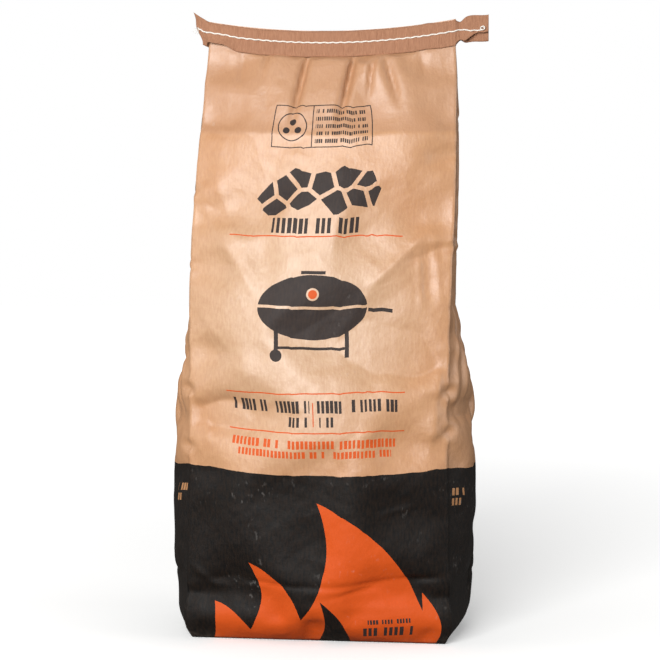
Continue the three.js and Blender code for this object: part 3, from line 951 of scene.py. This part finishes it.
tape_x = np.linspace(-MOUTH_HALF_WIDTH - LEFT_TAIL, MOUTH_HALF_WIDTH + RIGHT_TAIL, 440)
tape_bend = np.sin(np.linspace(0.38, 0.5, 6) * np.pi) * 0.07 + 0.93
tape_fold = np.concatenate([np.linspace(0, 0.92, 15), tape_bend])
tape_up = np.concatenate([tape_fold, tape_fold[-2::-1]])
tape_side = np.concatenate([np.full(len(tape_fold) - 1, -1.0), [0.0], np.full(len(tape_fold) - 1, 1.0)])
tape_points = np.stack(tape_place(tape_x[None, :], tape_up[:, None], tape_side[:, None]), axis=-1)
crinkle = rng.normal(0, 1, (6, len(tape_x)))
crinkle = np.repeat(crinkle, 8, axis=0)[: len(tape_up)]
crinkle = (crinkle + np.roll(crinkle, 1, axis=1) + np.roll(crinkle, 2, axis=0)) * 0.00009
tape_points[:, :, 1] += crinkle * np.where(tape_side == 0, 0, tape_side)[:, None]
tape_points[:, :, 2] += np.interp(tape_x, tape_x[::22], rng.normal(0, 0.0003, len(tape_x[::22])))[None, :]

tape = place_piece("crepe_tape", sheet_mesh("crepe_tape", tape_points), crepe_paper())
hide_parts("binding_tape")
wall = tape.modifiers.new("wall", "SOLIDIFY")
wall.thickness, wall.offset = 0.0004, 0.0

# ---------------------------------------------------------------- sewing threads
#
# Two thick cotton threads make a chain stitch through the tape and all layers of the mouth. The needle
# thread lies along the front in long stitches, and the looper thread makes a chain along the back.

THREAD_RADIUS = 0.00075


def seam_share(x, front):
    """How far up its leaf of the tape the seam runs. It drops towards the right end, where the front
    leaf is drawn up, so that leaf is crossed lower down."""
    drop = ease(0.10, 0.70, np.clip((x - MOUTH_HALF_WIDTH) / RIGHT_TAIL, 0, 1))
    return 0.55 - (0.40 if front else 0.11) * drop


def twisted_thread(name, path, radius, sides=12, plies=3, lay=0.0042):
    """A thread of twisted plies along a path of points. Its section is a round with one swelling for
    each ply, and the swellings turn round once in the length of lay."""
    along = np.gradient(path, axis=0)
    along /= np.linalg.norm(along, axis=1, keepdims=True)
    out = np.cross(along, [0.0, 0.0, 1.0])
    out /= np.linalg.norm(out, axis=1, keepdims=True)
    up = np.cross(out, along)
    run = np.concatenate([[0], np.cumsum(np.linalg.norm(np.diff(path, axis=0), axis=1))])
    turn = np.linspace(0, 2 * np.pi, sides, endpoint=False)[None, :]
    swell = radius * (1 + 0.16 * np.cos(plies * (turn - 2 * np.pi * run[:, None] / lay)))
    swell[0] = swell[-1] = 0
    points = (
        path[:, None, :]
        + swell[:, :, None] * np.cos(turn)[:, :, None] * out[:, None, :]
        + swell[:, :, None] * np.sin(turn)[:, :, None] * up[:, None, :]
    )
    return sheet_mesh(name, points, 1.0)


def cotton():
    """Undyed cotton: off-white, matte, with a soft fuzz."""
    material, tree, shader, where = new_material("cotton_thread", 0.85, 0.25)
    fuzz = ramp(tree, noise(tree, where, 900, 4), 0.35, 0.65)
    colour = mixed(tree, fuzz, (0.70, 0.64, 0.56, 1), (0.90, 0.87, 0.82, 1))
    feed(shader, {"Base Color": colour, "Normal": bump(tree, fuzz, 0.0002), "Sheen Weight": 0.2})
    return material


STITCH = 0.0092
seam_x = np.arange(-MOUTH_HALF_WIDTH - LEFT_TAIL + 0.003, MOUTH_HALF_WIDTH + RIGHT_TAIL - 0.006, 0.0006)
stitch = seam_x / STITCH * 2 * np.pi
front_x, front_y, front_z = tape_place(seam_x, seam_share(seam_x, True), -1.0)
front_y = front_y - 0.0002 - THREAD_RADIUS * (0.75 + 0.45 * np.cos(stitch))
needle_path = np.stack([front_x, front_y, front_z + 0.0003 * np.sin(stitch)], axis=1)
back_x, back_y, back_z = tape_place(seam_x, seam_share(seam_x, False), 1.0)
back_y = back_y + 0.0002 + THREAD_RADIUS * (1.35 + 0.5 * np.cos(stitch))
looper_path = np.stack([back_x + 0.0030 * np.sin(stitch), back_y, back_z + 0.0014 * np.cos(stitch)], axis=1)
cotton_thread = cotton()
for name, path, node in (
    ("needle_thread", needle_path, "front_seam_thread"),
    ("looper_thread", looper_path, "back_seam_thread"),
):
    thread = place_piece(name, twisted_thread(name, path, THREAD_RADIUS), cotton_thread)
    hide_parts(node)


def curl(middle, radius, turns, drift, tilt):
    """A small loop of thread: turns round a circle of that radius in an upright plane, which drifts
    along from one end to the other and leans by tilt."""
    t = np.linspace(0, 2 * np.pi * turns, int(40 * turns))
    return np.stack(
        [
            middle[0] + radius * np.cos(t) + drift[0] * t / t[-1],
            middle[1] - radius * tilt * np.sin(t) + drift[1] * t / t[-1],
            middle[2] + 0.8 * radius * np.sin(t) + drift[2] * t / t[-1],
        ],
        axis=1,
    )


def strand(start, heading, length, sag):
    """A loose end of yarn: straight out along heading at first, then bent down by sag."""
    t = np.linspace(0, 1, 24)[:, None]
    way = np.array(heading) / np.linalg.norm(heading)
    return start + way * length * t + np.array([0, 0, -sag]) * t**2


seam_start, seam_end = needle_path[0], needle_path[-1]
knot = curl(seam_start + [0.006, -0.0012, 0.0002], 0.0011, 2.4, (0.0016, -0.0006, 0), 0.8)
loop = curl(seam_end + [-0.001, -0.0012, 0.0014], 0.0021, 1.3, (0.001, -0.001, 0.0006), 0.5)
loose_ends = [("seam_knot", knot, 0.0006), ("tail_loop", loop, 0.0006)]
for number, (heading, length, sag) in enumerate(
    (
        ((-1.0, -0.6, -0.5), 0.010, 0.0020),
        ((-0.6, -0.9, -0.9), 0.009, 0.0015),
        ((-0.2, -0.5, -1.0), 0.008, 0.0010),
        ((-1.0, -0.3, 0.2), 0.007, 0.0030),
    )
):
    path = strand(seam_start + [0.002, -0.0005, 0], heading, length, sag)
    loose_ends.append((f"frayed_yarn_{number + 1}", path, 0.00022))
for name, path, radius in loose_ends:
    place_piece(name, twisted_thread(name, path, radius, sides=8), cotton_thread)

# ---------------------------------------------------------------- studio
#
# A plain pale floor that the sack stands on, and soft lights: a large key in front and a little to the
# left, a weaker one on each side, and one overhead. The walls are an even white glow.

floor_mesh = sheet_mesh(
    "floor", np.array([[[-6.0, -6.0, 0.0], [6.0, -6.0, 0.0]], [[-6.0, 6.0, 0.0], [6.0, 6.0, 0.0]]])
)
floor = bpy.data.objects.new("floor", floor_mesh)
bpy.context.scene.collection.objects.link(floor)
floor_paint, floor_tree, floor_shader, floor_where = new_material("pale_floor", 0.9, 0.1)
far = floor_tree.nodes.new("ShaderNodeVectorMath")
far.operation = "LENGTH"
seen_glow = ramp(floor_tree, feed(far, {0: floor_where})["Value"], -0.5, 2.2)
by_camera = floor_tree.nodes.new("ShaderNodeLightPath").outputs["Is Camera Ray"]
tint = mixed(floor_tree, by_camera, (0.20, 0.19, 0.18, 1), (0.88, 0.88, 0.87, 1))
lit = maths(floor_tree, "MULTIPLY", seen_glow, by_camera)
feed(floor_shader, {"Base Color": tint, "Emission Color": (1, 1, 1, 1), "Emission Strength": lit})
floor_mesh.materials.append(floor_paint)


def soft_light(name, place, width, height, power):
    """A rectangular area light that faces the middle of the sack."""
    lamp = bpy.data.lights.new(name, "AREA")
    lamp.shape = "RECTANGLE"
    lamp.size, lamp.size_y, lamp.energy = width, height, power
    light = bpy.data.objects.new(name, lamp)
    light.location = place
    light.rotation_euler = (Vector((0, 0, 0.35)) - Vector(place)).to_track_quat("-Z", "Y").to_euler()
    bpy.context.scene.collection.objects.link(light)


soft_light("key", (-0.42, -2.12, 0.98), 1.4, 1.0, 70)
soft_light("right", (2.2, -0.25, 0.9), 1.0, 1.2, 16)
soft_light("left", (-2.2, -0.30, 0.9), 1.0, 1.2, 12)
soft_light("overhead", (0.1, 0.4, 2.2), 1.4, 1.4, 8)

world = bpy.data.worlds.new("studio")
world.use_nodes = True
walls = world.node_tree
glow = feed(walls.nodes["Background"], {"Color": (1, 1, 1, 1), "Strength": 0.10})[0]
seen = feed(walls.nodes.new("ShaderNodeBackground"), {"Color": (1, 1, 1, 1)})[0]
by_camera = walls.nodes.new("ShaderNodeLightPath").outputs["Is Camera Ray"]
shown = feed(walls.nodes.new("ShaderNodeMixShader"), {0: by_camera, 1: glow, 2: seen})[0]
feed(walls.nodes["World Output"], {0: shown})
bpy.context.scene.world = world
bpy.context.scene.view_settings.view_transform = "Standard"

# ---------------------------------------------------------------- camera
#
# A long lens a little above the middle of the sack and a little to its right.

CAMERA_DISTANCE = 2.0
AZIMUTH, ELEVATION = np.radians(6.5), np.radians(4.15)
aim = Vector((0.006, 0.0, 0.340))
level = np.cos(ELEVATION)
towards_camera = Vector((np.sin(AZIMUTH) * level, -np.cos(AZIMUTH) * level, np.sin(ELEVATION)))
lens = bpy.data.cameras.new("camera")
lens.lens, lens.sensor_width = 96.6, 36
camera = bpy.data.objects.new("camera", lens)
camera.location = aim + CAMERA_DISTANCE * towards_camera
camera.rotation_euler = (-towards_camera).to_track_quat("-Z", "Y").to_euler()
bpy.context.scene.collection.objects.link(camera)
bpy.context.scene.camera = camera
